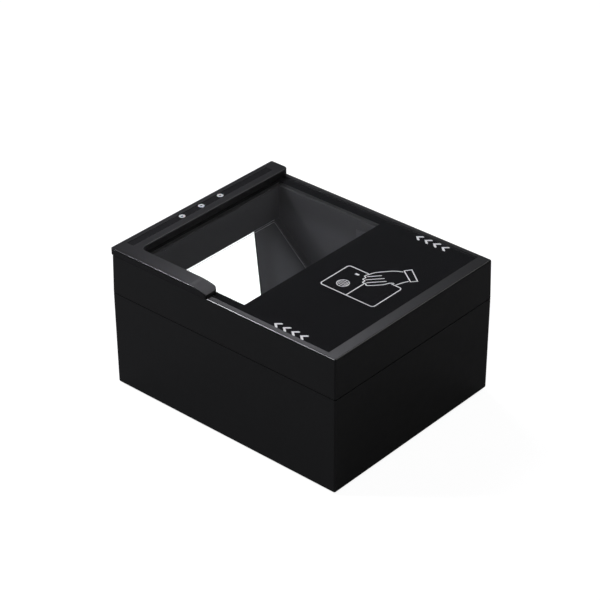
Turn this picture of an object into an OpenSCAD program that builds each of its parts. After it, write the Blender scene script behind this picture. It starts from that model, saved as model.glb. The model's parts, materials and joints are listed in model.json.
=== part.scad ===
// Desktop passport and ID page reader.
// The origin is on the table under the middle of the body. +X is right, -Y faces the user, +Z is up.
// All sizes are in millimetres.

/* [Housing] */
// Width across the top rim
body_w = 160; // [159:0.5:162]
// Depth over the top rim
body_d = 195.6; // [195:0.1:197]
// Height of the top rim above the table
rim_z = 104.3; // [104:0.1:105]
// Height of the middle of the seam between the two shells
seam_z = 74.4; // [74:0.1:75]
// Width of the groove at the seam
seam_gap = 0.8; // [0.4:0.1:1]
// How far each side stands out at the seam, compared with the rim
seam_flare = 0.5; // [0.2:0.1:0.8]
// How far each side draws in from the seam down to the base
base_taper = 0.3; // [0:0.1:0.5]
// Wall thickness of both shells
wall = 2.5; // [2.4:0.1:2.7]
// Radius of the shells' corners and edges
edge_r = 1.4; // [1:0.1:1.8]

/* [Glass and window] */
// Width of the rim beside the glass
side_rim = 4; // [3.8:0.1:4.2]
// Width of the rim in front of the glass
front_rim = 8.9; // [8.5:0.1:9.5]
// Thickness of the cover glass
glass_t = 2; // [1.8:0.1:2.2]
// Width of the clear window, a little more than a passport page is long
window_w = 136.4; // [135:0.2:137]
// Depth of the clear window, a little more than a passport page is deep
window_d = 91.5; // [90:0.5:92]
// Distance from the middle of the body back to the window's rear edge
window_back = 80.6; // [80.2:0.1:81]

/* [Document stop] */
// Height of the stop above the rim
stop_h = 5; // [4.6:0.1:5.4]
// Depth of the bar along the back
bar_d = 15.5; // [15:0.1:16]
// Width of the arm along the left side
arm_w = 12.7; // [12:0.1:13]
// Distance from the middle of the body back to the arm's front end
arm_front = 11.5; // [9:0.5:14]
// How much lower the arm is at its front end than along its length
arm_drop = 2.5; // [1.5:0.1:3]
// Distance between neighbouring indicator lenses
lens_pitch = 19; // [17:0.5:20]

/* [Optics] */
// Slope of the fold mirror
mirror_angle = 41.8; // [41.4:0.1:42.2]
// Depth of the mirror's upper edge below the rim
mirror_drop = 30.1; // [29.5:0.1:30.5]
// Thickness of the fold mirror
mirror_t = 3; // [2.5:0.1:3]
// Half of the fold mirror's width
mirror_half_w = 62.2; // [61.5:0.1:62.5]
// Half of the scan chamber's width inside
chamber_half_w = 67.1; // [67:0.1:67.3]
// Distance from the middle of the body forward to the front of the camera lens
lens_y = 62; // [61:0.5:63]

/* [Rear panel] */
// Width of the opening for the connector panel
panel_open_w = 88; // [86:1:90]
// Height of the opening for the connector panel
panel_open_h = 19; // [18.5:0.1:19.5]
// How far the power rocker turns from off to on
rocker_turn = 20; // [16:1:22]

/* [Feet] */
// Height of the rubber feet below the lower shell
foot_h = 2; // [1.8:0.1:2.2]
// Diameter of the rubber feet
foot_d = 14; // [13:0.5:14.5]

/* [Hidden] */
$fn = 48;

SHELL_BLACK = "#1a1a1c";
STOP_BLACK = "#2a2a2d";
GLOSS_BLACK = "#101012";
DARK_GREY = "#3a3b3e";
MILKY = "#e8e8e6";
CLEAR = "#bcd0d6";
STEEL = "#b4b6b8";
BLACK_STEEL = "#303032";
BRASS = "#c2a050";
COPPER = "#c87f4c";
BOARD_GREEN = "#1f6b3c";
RUBBER = "#222222";

eps = 0.01;
half_w = body_w / 2;
half_d = body_d / 2;
seam_half_w = half_w + seam_flare;
seam_half_d = half_d + seam_flare;
base_half_w = seam_half_w - base_taper;
base_half_d = seam_half_d - base_taper;
floor_z = foot_h + wall;
lower_top_z = seam_z - seam_gap / 2;
upper_low_z = seam_z + seam_gap / 2;

// Space inside the shells
inner_half_w = half_w - wall;
inner_half_d = half_d - wall;
tongue_t = 1.2;
tongue_z = lower_top_z - 2.7;
tongue_gap = 0.2;

// Layers under the glass
glass_inset = 0.1;
mask_t = 0.1;
gasket_t = 0.4;
deck_t = 2.1;
glass_top = rim_z - glass_inset;
glass_low = glass_top - glass_t;
deck_top = glass_low - mask_t - gasket_t;
deck_low = deck_top - deck_t;
glass_gap = 0.2;
glass_half_w = half_w - side_rim - glass_gap;
glass_front = -half_d + front_rim + glass_gap;
glass_back = 84.4;
window_front = window_back - window_d;
aperture_gap = 0.3;
skirt_z = deck_low - 1.2;
chamber_top = deck_low - 0.1;

// Document stop and indicators
stop_top = rim_z + stop_h;
bar_front = half_d - bar_d;
arm_inner_x = -seam_half_w + arm_w;
strip_front = 88.4;
strip_back = 94.3;
strip_left = -69;
strip_right = 70;
strip_t = 1.1;
strip_pocket = 1.2;
lens_line_y = (strip_front + strip_back) / 2;
lens_r = 2.6;
pipe_r = 2;
lens_shoulder_z = stop_top - 2.1;
stop_screw_y = 86.6;
stop_screw_x = [-60, -36, 36, 60];
indicator_board_top = deck_low - 1;

// Corner columns that the housing screws run through
column_x = half_w - 7.5;
column_y = half_d - 7.3;
column_r = 4.5;
column_top = 70;
screw_seat_z = 62;
insert_r = 2.3;
insert_h = 6;

// Fold mirror: its face passes through (mirror_back, mirror_top_z) and falls towards the front
chamber_back = 80;
chamber_front = -12;
chamber_t = 1.5;
chamber_floor_z = 8.3;
mirror_back = chamber_back + 0.1;
mirror_top_z = rim_z - mirror_drop + 0.1;
mirror_len = 95.5;
mirror_side_gap = 0.2;
shelf_drop = 0.4 / cos(mirror_angle);
bed_drop = (mirror_t + 0.1) / cos(mirror_angle);
bed_t = 1.8 / cos(mirror_angle);
pocket_back = mirror_back + 2.2;
function face_z(y) = mirror_top_z - (mirror_back - y) * tan(mirror_angle);
function bed_z(y) = face_z(y) - bed_drop;
function bed_y(z) = mirror_back - (mirror_top_z - bed_drop - z) / tan(mirror_angle);
function shelf_y(z) = mirror_back - (mirror_top_z - shelf_drop - z) / tan(mirror_angle);
flange_half_w = 74.2;
flange_front = -18;
flange_back = 84;
flange_screws = [for (x = [-71.5, 71.5], y = [-15.6, 26, 72]) [x, y]];

// Light units on the chamber's side walls
light_y = [-10, 8.6];
light_z = [20, 92];
light_middle = [(light_y[0] + light_y[1]) / 2, (light_z[0] + light_z[1]) / 2];
light_board_x = 70.7;
light_board_h = 78.4;
board_t = 1.6;

// Camera, looking back and slightly down at the mirror
camera_tilt = 90 - 2 * mirror_angle;
camera_z = 44.7;
camera_base_z = 8.5;
camera_base_screws = [for (x = [-18, 18], y = [-80, -68]) [x, y]];
camera_board_screws = [for (x = [-15.5, 15.5], z = [-15.5, 15.5]) [x, z]];
camera_board_y = -22.6;

// Boards
main_board_z = 10;
main_board_top = main_board_z + board_t;
main_board_screws = [for (x = [-54, 54], y = [30, 78]) [x, y]];
antenna_board_top = 97;
antenna_board_z = antenna_board_top - board_t;
antenna_screws = [for (x = [-54, 54], y = [-78, -28]) [x, y]];
header_h = 4;
plug_line_z = main_board_top + 2.4;

// Rear panel
panel_t = 1.5;
panel_z = 19;
panel_inner_y = inner_half_d + 0.2;
panel_screw_x = 40;
panel_post_top = 28;
usb_x = -20;
dc_x = 0;
switch_x = 22;
usb_w = 12;
usb_h = 10.9;
dc_w = 9;
dc_h = 11;
switch_w = 10;
switch_h = 14;
rocker_y = panel_inner_y - 2.3;
rocker_r = 6;
trunnion_r = 0.9;
running_gap = 0.05;

// Helpers

// Rectangle with rounded corners, centred on the origin
module round_rect(w, d, r) {
    square([w - 2 * r, d], center = true);
    square([w, d - 2 * r], center = true);
    for (x = [-1, 1], y = [-1, 1])
        translate([x * (w / 2 - r), y * (d / 2 - r)])
            circle(r);
}

// Box between two corners
module box(low, high) {
    translate(low)
        cube(high - low);
}

// One thin round slice at each corner of a rectangle
module corner_slices(half_x, half_y, z, r) {
    for (x = [-1, 1], y = [-1, 1])
        translate([x * (half_x - edge_r), y * (half_y - edge_r), z])
            cylinder(h = eps, r = r, $fn = 32);
}

// Shell block that narrows from one level to the other, with one end's edge rounded
module shell_block(low_half, low_z, high_half, high_z, round_low) {
    hull() {
        for (a = [0 : 15 : 90]) {
            inset = edge_r * (1 - cos(a));
            lift = edge_r * (1 - sin(a));
            if (round_low)
                corner_slices(low_half.x, low_half.y, low_z + lift, edge_r - inset + eps);
            else
                corner_slices(high_half.x, high_half.y, high_z - lift - eps, edge_r - inset + eps);
        }
        if (round_low)
            corner_slices(high_half.x, high_half.y, high_z - eps, edge_r);
        else
            corner_slices(low_half.x, low_half.y, low_z, edge_r);
    }
}

// Point on the smooth curve from b to c, where a and d are the route's points before and after them
function curve_point(a, b, c, d, t) =
    (2 * b + (c - a) * t + (2 * a - 5 * b + 4 * c - d) * t * t + (3 * b - a - 3 * c + d) * t * t * t) / 2;

// Points of a smooth curve through all points of a route
function smooth_route(route, steps = 4) =
    let (last = len(route) - 1)
    [
        for (i = [0 : last - 1], s = [0 : steps - 1])
            curve_point(route[max(i - 1, 0)], route[i], route[i + 1], route[min(i + 2, last)], s / steps),
        route[last]
    ];

function unit(v) = v / norm(v);

// Ring of a tube's outline around a point of its path
function tube_ring(p, along, r, sides) =
    let (across = unit(cross(along, [0.2, 1, 0.1])), up = cross(across, along))
    [for (k = [0 : sides - 1]) p + r * (cos(360 * k / sides) * across + sin(360 * k / sides) * up)];

// Cable of round section along a route, whose ends are square to its first and last stretches
module cable(route, r, sides = 8) {
    path = smooth_route(route);
    last = len(path) - 1;
    rings = [
        tube_ring(path[0], unit(route[1] - route[0]), r, sides),
        for (i = [1 : last - 1])
            tube_ring(path[i], unit(path[i + 1] - path[i - 1]), r, sides),
        tube_ring(path[last], unit(route[len(route) - 1] - route[len(route) - 2]), r, sides)
    ];
    polyhedron(
        points = [for (ring = rings) for (p = ring) p],
        faces = [
            [for (k = [0 : sides - 1]) k],
            for (i = [0 : last - 1], k = [0 : sides - 1])
                let (next = (k + 1) % sides)
                [i * sides + k, (i + 1) * sides + k, (i + 1) * sides + next, i * sides + next],
            [for (k = [sides - 1 : -1 : 0]) last * sides + k]
        ]
    );
}

// Pan-head screw whose head rests on the origin plane and whose shank runs along +Z
module screw(shank_r, shank_len, head_r, head_h) {
    difference() {
        translate([0, 0, -head_h])
            cylinder(h = head_h, r = head_r);
        translate([0, 0, -head_h - eps])
            for (a = [0, 90])
                rotate(a)
                    translate([-head_r * 0.6, -0.35, 0])
                        cube([head_r * 1.2, 0.7, head_h * 0.5]);
    }
    cylinder(h = shank_len, r = shank_r);
}

// Solid with a side profile drawn in Y and Z, running from x_low to x_high
module side_profile(points, x_low, x_high) {
    translate([x_low, 0, 0])
        rotate([90, 0, 90])
            linear_extrude(x_high - x_low)
                polygon(points);
}

module at_columns(z) {
    for (x = [-1, 1], y = [-1, 1])
        translate([x * column_x, y * column_y, z])
            children();
}

module at_points(points, z) {
    for (p = points)
        translate([p.x, p.y, z])
            children();
}

// Camera frame: origin at the front of the lens, +Y along its line of sight
module in_camera() {
    translate([0, -lens_y, camera_z])
        rotate([-camera_tilt, 0, 0])
            children();
}

module along_y() {
    rotate([-90, 0, 0])
        children();
}

// Shells

module foot_places() {
    for (x = [-64, 64], y = [-82, 82])
        translate([x, y, 0])
            children();
}

module column_webs(z_low, z_high, to_wall) {
    web_t = 2;
    for (x = [-1, 1], y = [-1, 1]) {
        box([min(x * column_x, x * to_wall.x), y * column_y - web_t / 2, z_low],
            [max(x * column_x, x * to_wall.x), y * column_y + web_t / 2, z_high]);
        box([x * column_x - web_t / 2, min(y * column_y, y * to_wall.y), z_low],
            [x * column_x + web_t / 2, max(y * column_y, y * to_wall.y), z_high]);
    }
}

module lower_housing() {
    cavity = [base_half_w - wall, base_half_d - wall];
    rebate = [inner_half_w + tongue_t + tongue_gap, inner_half_d + tongue_t + tongue_gap];
    post = [8, 7.5];
    color(SHELL_BLACK)
    difference() {
        union() {
            difference() {
                shell_block([base_half_w, base_half_d], foot_h,
                    [seam_half_w, seam_half_d], lower_top_z, true);
                box([-cavity.x, -cavity.y, floor_z], [cavity.x, cavity.y, lower_top_z + 1]);
                box([-rebate.x, -rebate.y, tongue_z - tongue_gap], [rebate.x, rebate.y, lower_top_z + 1]);
            }
            at_columns(floor_z - eps)
                cylinder(h = column_top - floor_z, r = column_r);
            column_webs(floor_z - eps, tongue_z - 2, cavity + [eps, eps]);
            at_points(main_board_screws, floor_z - eps)
                cylinder(h = main_board_z - floor_z + eps, r = 3);
            at_points(camera_base_screws, floor_z - eps)
                cylinder(h = camera_base_z - floor_z + eps, r = 3);
            for (x = [-1, 1])
                translate([x * panel_screw_x - post.x / 2, panel_inner_y - panel_t - post.y, floor_z - eps])
                    cube([post.x, post.y, panel_post_top - floor_z]);
        }
        at_columns(foot_h - 1)
            cylinder(h = screw_seat_z - foot_h + 1, r = 3.3);
        at_columns(0)
            cylinder(h = column_top + 1, r = 1.7);
        at_points(main_board_screws, floor_z + 1)
            cylinder(h = main_board_z, r = 1.25);
        at_points(camera_base_screws, floor_z)
            cylinder(h = camera_base_z, r = 1.25);
        foot_places()
            cylinder(h = foot_h + 0.8, r = foot_d / 2 + 0.3);
        translate([0, 0, foot_h - eps])
            linear_extrude(0.3)
                round_rect(64, 40, 2);
        box([-panel_open_w / 2, cavity.y - 1, panel_z - panel_open_h / 2],
            [panel_open_w / 2, seam_half_d + 1, panel_z + panel_open_h / 2]);
        for (x = [-1, 1])
            translate([x * panel_screw_x, 84, panel_z])
                along_y()
                    cylinder(h = 12, r = 1.25);
        lock_slot();
    }
}

// Rounded slot of 7 by 3 mm in the rear wall, for a security lock
module lock_slot() {
    translate([62, half_d - 4, panel_z])
        along_y() {
            box([-2, -1.5, 0], [2, 1.5, 6]);
            for (x = [-2, 2])
                translate([x, 0, 0])
                    cylinder(h = 6, r = 1.5);
        }
}

module upper_housing() {
    tongue = [inner_half_w + tongue_t, inner_half_d + tongue_t];
    recess = [glass_half_w + glass_gap, glass_front - glass_gap, glass_back + glass_gap];
    aperture_half_w = window_w / 2 + aperture_gap;
    chamber_gap = 0.3;
    chamber_hole = [
        chamber_half_w + chamber_t + chamber_gap,
        chamber_front - chamber_t - chamber_gap,
        chamber_back + chamber_t + chamber_gap
    ];
    color(SHELL_BLACK)
    difference() {
        union() {
            difference() {
                union() {
                    shell_block([seam_half_w, seam_half_d], upper_low_z, [half_w, half_d], rim_z, false);
                    box([-tongue.x, -tongue.y, tongue_z], [tongue.x, tongue.y, upper_low_z + 1]);
                }
                box([-inner_half_w, -inner_half_d, tongue_z - 1], [inner_half_w, inner_half_d, deck_low]);
            }
            box([-flange_half_w, flange_front, skirt_z], [flange_half_w, flange_back, deck_low + eps]);
            at_columns(column_top)
                cylinder(h = deck_low - column_top + eps, r = column_r);
            column_webs(column_top + 4, deck_low + eps, [inner_half_w + eps, inner_half_d + eps]);
            at_points(antenna_screws, antenna_board_top)
                cylinder(h = deck_low - antenna_board_top + eps, r = 3);
        }
        box([-recess.x, recess.y, deck_top], [recess.x, recess.z, rim_z + 1]);
        box([-aperture_half_w, window_front - aperture_gap, deck_low - 1],
            [aperture_half_w, window_back + aperture_gap, rim_z]);
        box([-chamber_hole.x, chamber_hole.y, skirt_z - 1], [chamber_hole.x, chamber_hole.z, deck_low]);
        at_columns(column_top - 1)
            cylinder(h = insert_h + 1, r = insert_r);
        at_columns(column_top)
            cylinder(h = insert_h + 4, r = 1.6);
        at_points(flange_screws, skirt_z - 1)
            cylinder(h = 3.8, r = 1.25);
        at_points(antenna_screws, antenna_board_top - 1)
            cylinder(h = 4.2, r = 1.25);
        for (x = stop_screw_x)
            translate([x, stop_screw_y, deck_low - 1])
                cylinder(h = rim_z, r = 1.7);
        for (i = [-1 : 1])
            translate([i * lens_pitch, lens_line_y, deck_low - 1])
                cylinder(h = rim_z, r = pipe_r + 0.3);
    }
}

// Outline of the document stop, seen from above
module stop_outline() {
    inner_fillet = 5;
    arm_end_r = 4.5;
    bar_end_r = 3.5;
    outer_r = 1.4;
    difference() {
        union() {
            translate([-seam_half_w, bar_front])
                square([seam_half_w + half_w, half_d + seam_flare - bar_front]);
            translate([-seam_half_w, arm_front])
                square([arm_w, bar_front - arm_front + 1]);
            translate([arm_inner_x - 1, bar_front - inner_fillet])
                square([inner_fillet + 1, inner_fillet + 1]);
        }
        translate([arm_inner_x + inner_fillet, bar_front - inner_fillet])
            circle(inner_fillet);
        corner_cut([arm_inner_x, arm_front], [1, -1], arm_end_r);
        corner_cut([half_w, bar_front], [1, -1], bar_end_r);
        corner_cut([half_w, seam_half_d], [1, 1], outer_r);
        corner_cut([-seam_half_w, seam_half_d], [-1, 1], outer_r);
        corner_cut([-seam_half_w, arm_front], [-1, -1], outer_r);
    }
}

// What a rounded outer corner leaves out of a square one; side points outwards from the solid
module corner_cut(corner, side, r) {
    centre = corner - side * r;
    difference() {
        translate(centre + side * (r / 2 + eps))
            square(r + 2 * eps, center = true);
        translate(centre)
            circle(r);
    }
}

module document_stop() {
    ramp_len = 16.5;
    ramp_r = (ramp_len * ramp_len + arm_drop * arm_drop) / (2 * arm_drop);
    ramp_back = arm_front + ramp_len;
    color(STOP_BLACK)
    difference() {
        translate([0, 0, rim_z])
            linear_extrude(stop_h)
                stop_outline();
        difference() {
            box([-half_w - 5, arm_front - 1, stop_top - arm_drop - 1],
                [arm_inner_x + 1, ramp_back, stop_top + 1]);
            translate([-half_w - 6, ramp_back, stop_top - ramp_r + 0.02])
                rotate([0, 90, 0])
                    cylinder(h = arm_w + 8, r = ramp_r, $fn = 256);
        }
        box([strip_left, strip_front, stop_top - strip_pocket], [strip_right, strip_back, stop_top + 1]);
        for (i = [-1 : 1])
            translate([i * lens_pitch, lens_line_y, 0]) {
                cylinder(h = stop_top, r = pipe_r + 0.1);
                translate([0, 0, lens_shoulder_z])
                    cylinder(h = stop_h, r = lens_r + 0.1);
            }
        for (x = stop_screw_x)
            translate([x, stop_screw_y, rim_z - 1])
                cylinder(h = 4.5, r = 1.25);
    }
}

module indicator_strip() {
    gap = 0.1;
    color(GLOSS_BLACK)
    difference() {
        box([strip_left + gap, strip_front + gap, stop_top - strip_pocket],
            [strip_right - gap, strip_back - gap, stop_top - strip_pocket + strip_t]);
        for (i = [-1 : 1])
            translate([i * lens_pitch, lens_line_y, rim_z])
                cylinder(h = 2 * stop_h, r = lens_r + 0.1);
    }
}

// Milky lens with a light pipe down to its LED
module indicator_lens(i) {
    dome_h = 0.3;
    dome_r = (lens_r * lens_r + dome_h * dome_h) / (2 * dome_h);
    pipe_low = indicator_board_top + 0.9;
    color(MILKY)
    translate([i * lens_pitch, lens_line_y, 0]) {
        intersection() {
            translate([0, 0, lens_shoulder_z])
                cylinder(h = stop_top - lens_shoulder_z, r = lens_r);
            translate([0, 0, stop_top - dome_r])
                sphere(dome_r, $fn = 128);
        }
        translate([0, 0, pipe_low])
            cylinder(h = lens_shoulder_z - pipe_low + eps, r = pipe_r);
    }
}

module indicator_lens_left() {
    indicator_lens(-1);
}

module indicator_lens_middle() {
    indicator_lens(0);
}

module indicator_lens_right() {
    indicator_lens(1);
}

module indicator_board() {
    color(BOARD_GREEN)
    translate([0, lens_line_y, indicator_board_top - board_t / 2])
        cube([60, 7.2, board_t], center = true);
}

module indicator_leds() {
    led = 1.6;
    color(MILKY)
    for (i = [-1 : 1])
        translate([i * lens_pitch - led / 2, lens_line_y - led / 2, indicator_board_top])
            cube([led, led, 0.8]);
}

module indicator_cable() {
    start_z = indicator_board_top - board_t - 0.1;
    color("dimgray")
    cable([
        [24, 90, start_z], [24, 90, start_z - 6], [36, 90, 62], [47, 89.6, 34], [47.5, 85, 17],
        [47.5, 80, plug_line_z], [47.5, 77.1, plug_line_z]
    ], 0.9);
}

// Glass and its layers

module cover_outline(inset) {
    translate([-glass_half_w + inset, glass_front + inset])
        square([2 * (glass_half_w - inset), glass_back - glass_front - 2 * inset]);
}

module window_outline(grow) {
    translate([-window_w / 2 - grow, window_front - grow])
        square([window_w + 2 * grow, window_d + 2 * grow]);
}

module cover_glass() {
    color(CLEAR, 0.35)
    translate([0, 0, glass_low])
        linear_extrude(glass_t)
            cover_outline(0);
}

module glass_mask() {
    color(GLOSS_BLACK)
    translate([0, 0, glass_low - mask_t])
        linear_extrude(mask_t)
            difference() {
                cover_outline(0.2);
                window_outline(0);
            }
}

module glass_gasket() {
    color(RUBBER)
    translate([0, 0, deck_top])
        linear_extrude(gasket_t)
            difference() {
                cover_outline(1);
                window_outline(0.6);
            }
}

// Contactless chip reader under the front deck

module antenna_board() {
    color(BOARD_GREEN)
    difference() {
        box([-60, -84, antenna_board_z], [60, -22, antenna_board_top]);
        at_points(antenna_screws, antenna_board_z - 1)
            cylinder(h = board_t + 2, r = 1.35);
    }
}

module antenna_coil() {
    turns = 5;
    track = 0.8;
    pitch = 2;
    outer = [98, 44];
    color(COPPER)
    translate([0, -53, antenna_board_top])
        linear_extrude(0.1)
            for (i = [0 : turns - 1])
                difference() {
                    square(outer - [2, 2] * i * pitch, center = true);
                    square(outer - [2, 2] * (i * pitch + track), center = true);
                }
}

module reader_module() {
    color(STEEL)
    box([-14, -60, antenna_board_z - 3.5], [14, -38, antenna_board_z]);
}

module antenna_cable() {
    start_z = antenna_board_z - 0.1;
    color("dimgray")
    cable([
        [52, -40, start_z], [52, -40, start_z - 4], [63, -37, 86], [73.5, -26, 78], [75.4, 4, 52],
        [74.6, 30, 30], [69.5, 39.5, 18], [64, 41, plug_line_z], [59.1, 41, plug_line_z]
    ], 1);
}

// Scan chamber and mirror

module scan_chamber() {
    outer_w = chamber_half_w + chamber_t;
    flange_t = 1.5;
    rim_top = skirt_z;
    back_out = chamber_back + chamber_t;
    pocket_out = pocket_back + chamber_t;
    under_z = chamber_floor_z - chamber_t;
    pocket_top = mirror_top_z + 0.2;
    camera_hole = [26, 18, 58];
    shroud_front = -50;
    rail = [4.6, 21, 3];
    color(DARK_GREY)
    difference() {
        union() {
            side_profile([
                [chamber_front - chamber_t, under_z],
                [bed_y(under_z + bed_t), under_z],
                [pocket_out, bed_z(pocket_out) - bed_t],
                [pocket_out, pocket_top + chamber_t],
                [back_out, pocket_top + chamber_t],
                [back_out, chamber_top],
                [chamber_front - chamber_t, chamber_top]
            ], -outer_w, outer_w);
            box([-flange_half_w, flange_front, rim_top - flange_t], [flange_half_w, flange_back, rim_top]);
            box([-camera_hole.x - chamber_t, shroud_front, camera_hole.y - chamber_t],
                [camera_hole.x + chamber_t, chamber_front, camera_hole.z + chamber_t]);
            for (x = [-1, 1], z = [-1, 1])
                translate([x * (outer_w + rail.x / 2), light_middle.x, light_middle.y + z * light_board_h / 2])
                    cube(rail + [eps, 0, 0], center = true);
        }
        side_profile([
            [chamber_front, chamber_floor_z],
            [bed_y(chamber_floor_z), chamber_floor_z],
            [pocket_back, bed_z(pocket_back)],
            [pocket_back, pocket_top],
            [chamber_back, pocket_top],
            [chamber_back, chamber_top + 1],
            [chamber_front, chamber_top + 1]
        ], -mirror_half_w - mirror_side_gap, mirror_half_w + mirror_side_gap);
        side_profile([
            [chamber_front, chamber_floor_z],
            [shelf_y(chamber_floor_z), chamber_floor_z],
            [chamber_back, face_z(chamber_back) - shelf_drop],
            [chamber_back, chamber_top + 1],
            [chamber_front, chamber_top + 1]
        ], -chamber_half_w, chamber_half_w);
        box([-camera_hole.x, shroud_front + chamber_t, camera_hole.y],
            [camera_hole.x, chamber_front + 1, camera_hole.z]);
        translate([0, shroud_front - 1, camera_z - 1.3])
            along_y()
                cylinder(h = 4, r = 9.5);
        for (x = [-1, 1]) {
            translate([x * outer_w, light_middle.x, light_middle.y])
                cube([4, light_y[1] - light_y[0], light_z[1] - light_z[0]], center = true);
            translate([x * (light_board_x + board_t / 2), light_middle.x, light_middle.y])
                cube([board_t + 0.2, 22, light_board_h + 0.4], center = true);
        }
        at_points(flange_screws, rim_top - flange_t - 1)
            cylinder(h = 4, r = 1.7);
    }
}

module fold_mirror() {
    color("#dfe6ea")
    translate([0, mirror_back, mirror_top_z])
        rotate([mirror_angle, 0, 0])
            box([-mirror_half_w, -mirror_len, -mirror_t], [mirror_half_w, 0, 0]);
}

// Spring clips that hold the mirror's lower edge down on its bed
module mirror_clips() {
    clip_w = 10;
    clip_t = 0.6;
    color(STEEL)
    for (x = [-40, 40])
        translate([x - clip_w / 2, mirror_back, mirror_top_z])
            rotate([mirror_angle, 0, 0]) {
                box([0, -mirror_len - clip_t, 0.02], [clip_w, -mirror_len + 4, clip_t]);
                box([0, -mirror_len - clip_t, 0.4 - mirror_t], [clip_w, -mirror_len - 0.02, 0.3]);
            }
}

// Camera

module camera_bracket() {
    plate_half_w = 22;
    shelf_half_w = 24;
    color("#c8cacc")
    difference() {
        union() {
            intersection() {
                in_camera()
                    box([-plate_half_w, -20.6, -45], [plate_half_w, -18.6, 22]);
                box([-40, -110, camera_base_z + 1], [40, 0, 100]);
            }
            box([-shelf_half_w, -88, camera_base_z], [shelf_half_w, -62, camera_base_z + 2]);
            in_camera()
                for (p = camera_board_screws)
                    translate([p.x, camera_board_y, p.y])
                        along_y()
                            cylinder(h = 2 + eps, r = 2.4);
        }
        in_camera() {
            box([-10.5, -21, -10.5], [10.5, -18, 10.5]);
            for (p = camera_board_screws)
                translate([p.x, -23, p.y])
                    along_y()
                        cylinder(h = 6, r = 0.95);
        }
        at_points(camera_base_screws, camera_base_z - 1)
            cylinder(h = 4, r = 1.35);
    }
}

module camera_board() {
    color(BOARD_GREEN)
    in_camera()
        difference() {
            box([-19, camera_board_y - board_t, -19], [19, camera_board_y, 19]);
            for (p = camera_board_screws)
                translate([p.x, -25, p.y])
                    along_y()
                        cylinder(h = 4, r = 1.1);
        }
}

module image_sensor() {
    color("#223044")
    in_camera()
        box([-5.5, camera_board_y, -4.5], [5.5, -21.4, 4.5]);
}

module lens_holder() {
    color(RUBBER)
    in_camera()
        difference() {
            union() {
                box([-10, camera_board_y, -10], [10, -20, 10]);
                translate([0, -20.1, 0])
                    along_y()
                        cylinder(h = 10.1, r = 8.5);
            }
            box([-6.5, -23, -5.5], [6.5, -21, 5.5]);
            translate([0, -21.5, 0])
                along_y()
                    cylinder(h = 12, r = 6.55);
        }
}

module lens_barrel() {
    color(BLACK_STEEL)
    in_camera()
        difference() {
            union() {
                translate([0, -20, 0])
                    along_y()
                        cylinder(h = 11.1, r = 6.5);
                translate([0, -9.9, 0])
                    along_y()
                        cylinder(h = 9.4, r = 9);
            }
            translate([0, -21, 0])
                along_y()
                    cylinder(h = 22, r = 5);
            translate([0, -3.5, 0])
                along_y()
                    cylinder(h = 4, r = 7.5);
        }
}

module front_lens() {
    color(CLEAR, 0.5)
    in_camera()
        translate([0, -3.5, 0])
            along_y()
                cylinder(h = 2.2, r = 7.4);
}

// Flat ribbon from the camera board, along the floor and up to the main board
module camera_ribbon() {
    ribbon_t = 0.3;
    back_y = -90.6;
    plug_gap = 0.9;
    plug_z = 36;
    low_z = floor_z + 0.5;
    board_y = 26;
    in_z = main_board_top + 1;
    rise_y = 16;
    color("#e4e4dc")
    side_profile([
        [back_y, low_z], [rise_y, low_z], [rise_y + 6, in_z], [board_y, in_z],
        [board_y, in_z + ribbon_t], [rise_y + 6 - ribbon_t, in_z + ribbon_t],
        [rise_y - ribbon_t, low_z + ribbon_t], [back_y + ribbon_t, low_z + ribbon_t],
        [back_y + ribbon_t, plug_z - ribbon_t], [back_y + plug_gap, plug_z - ribbon_t],
        [back_y + plug_gap, plug_z], [back_y, plug_z]
    ], -6, 6);
}

// Side lights

module light_board(side) {
    color(BOARD_GREEN)
    translate([side * (light_board_x + board_t / 2), light_middle.x, light_middle.y])
        cube([board_t, 18.6, light_board_h], center = true);
}

module light_leds(side) {
    color(MILKY)
    for (i = [0 : 5], y = [-5, 3.6])
        translate([side * (light_board_x - 0.45), y, 27.5 + i * 11])
            cube([0.9, 3.5, 3.5], center = true);
}

module light_cover(side) {
    size = [light_y[1] - light_y[0] - 0.4, light_z[1] - light_z[0] - 0.4];
    lip_x = chamber_half_w + chamber_t;
    color("#77787a", 0.8)
    union() {
        translate([side * (lip_x - 0.9), light_middle.x, light_middle.y])
            cube([2.2, size.x, size.y], center = true);
        translate([side * (lip_x + 0.5), light_middle.x, light_middle.y])
            cube([1, size.x + 2.2, size.y + 3.6], center = true);
    }
}

module left_light_board() {
    light_board(-1);
}

module right_light_board() {
    light_board(1);
}

module left_light_leds() {
    light_leds(-1);
}

module right_light_leds() {
    light_leds(1);
}

module left_light_cover() {
    light_cover(-1);
}

module right_light_cover() {
    light_cover(1);
}

module light_cables() {
    color("dimgray")
    for (side = [-1, 1])
        cable([
            [side * 73.4, 4, 25], [side * 74.6, 9, 16], [side * 72, 20, 12], [side * 70.5, 36, 11.5],
            [side * 69, 45, 12.5], [side * 64, 49, plug_line_z], [side * 59.1, 49, plug_line_z]
        ], 0.9);
}

// Main board

module main_board() {
    color(BOARD_GREEN)
    difference() {
        union() {
            box([-60, 24, main_board_z], [60, 84, main_board_top]);
            box([-34, 83, main_board_z], [34, 92, main_board_top]);
        }
        at_points(main_board_screws, main_board_z - 1)
            cylinder(h = board_t + 2, r = 1.35);
    }
}

module processor() {
    color("#202020")
    box([-24, 48, main_board_top], [-2, 70, main_board_top + 1.5]);
}

module memory_chips() {
    color("#262626")
    for (x = [6, 20])
        box([x, 50, main_board_top], [x + 10, 63, main_board_top + 1.2]);
}

// Finned block on the processor
module heat_sink() {
    base_z = main_board_top + 1.5;
    fins = 7;
    color("#404244")
    union() {
        box([-26, 46, base_z], [0, 72, base_z + 2]);
        for (i = [0 : fins - 1])
            translate([-26 + i * 4.15, 46, base_z + 2 - eps])
                cube([1.1, 26, 6]);
    }
}

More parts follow.
